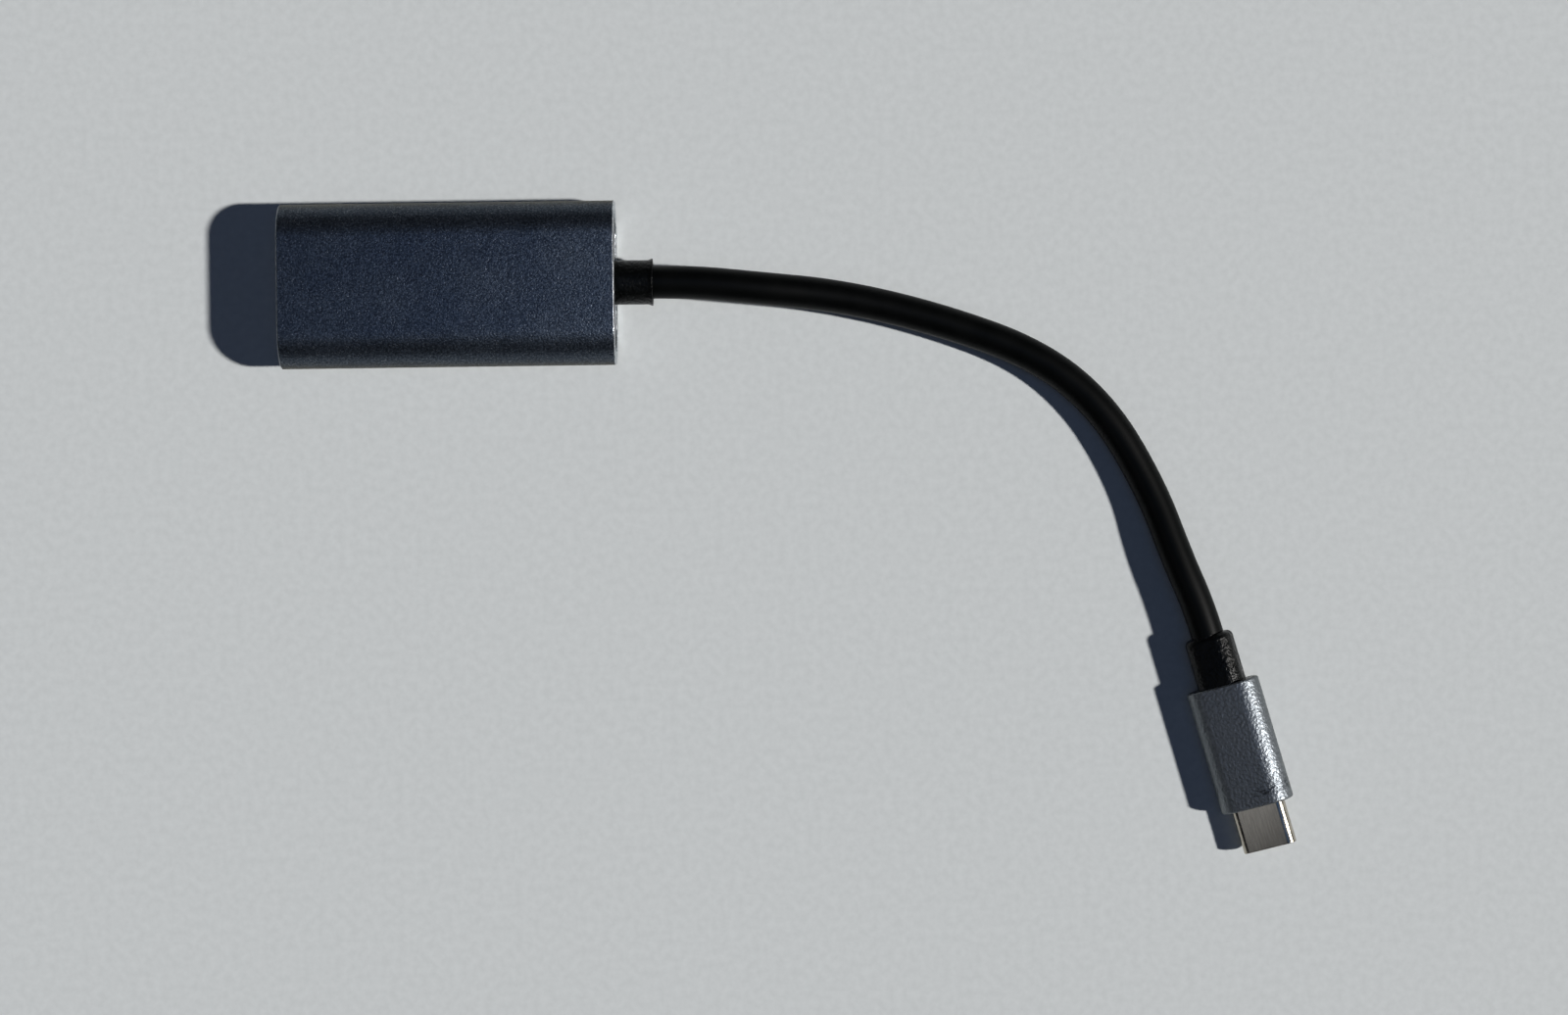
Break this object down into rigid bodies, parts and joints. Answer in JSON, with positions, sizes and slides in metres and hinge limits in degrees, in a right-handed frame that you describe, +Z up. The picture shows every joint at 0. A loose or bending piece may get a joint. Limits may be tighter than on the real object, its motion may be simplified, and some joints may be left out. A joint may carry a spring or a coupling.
{
  "type": "wired video display adapter",
  "caption": "Slim rounded metal housing with a video socket on one end and a short fixed cable to an oval metal reversible plug on the other.",
  "frame": {"origin": "bottom centre of the housing, on the surface that it rests on", "axes": "+X along the housing from the video socket to the cable end, +Y across the housing, +Z up"},
  "size_m": [0.1521, 0.1, 0.011],
  "materials": {
    "housing_aluminium": "dark blue-grey anodised over fine bead blast",
    "plug_aluminium": "grey anodised over fine bead blast, rubbed bright near the front",
    "black_plastic": "moulded, satin",
    "board_laminate": "solder mask over glass-fibre laminate",
    "plated_steel": "nickel plated",
    "nose_steel": "drawn stainless steel",
    "insulator_plastic": "moulded",
    "contact_gold": "gold plated",
    "chip_resin": "moulded epoxy",
    "ferrite": "sintered, matt",
    "capacitor_ceramic": "fired ceramic",
    "boot_elastomer": "fine moulded grain",
    "cable_jacket": "smooth extruded, faint sheen",
    "wire_insulation": "extruded, satin",
    "clamp_brass": "crimped, plain"
  },
  "bodies": {
    "root": {"housing_sleeve": "housing_aluminium", "port_end_cap": "black_plastic", "cable_end_cap": "black_plastic", "main_board": "board_laminate", "socket_shell": "plated_steel", "socket_tongue": "insulator_plastic", "socket_contacts": "contact_gold", "converter_chip": "chip_resin", "memory_chip": "chip_resin", "regulator_chip": "chip_resin", "clock_crystal": "plated_steel", "power_inductor": "ferrite", "ceramic_capacitors": "capacitor_ceramic", "chip_resistors": "ferrite", "housing_boot": "boot_elastomer", "braid_clamp": "clamp_brass", "cable_tail": "cable_jacket", "board_wires": "wire_insulation", "cable": "cable_jacket", "plug_boot": "boot_elastomer", "plug_cable_tail": "cable_jacket", "plug_sleeve": "plug_aluminium", "plug_inner_mould": "black_plastic", "plug_shield_can": "plated_steel", "plug_nose_shell": "nose_steel", "plug_insulator": "insulator_plastic", "plug_contacts": "contact_gold", "plug_latch_springs": "nose_steel", "plug_ground_springs": "nose_steel", "plug_board": "board_laminate", "plug_marker_chip": "chip_resin", "plug_wires": "wire_insulation"}
  },
  "joints": []
}
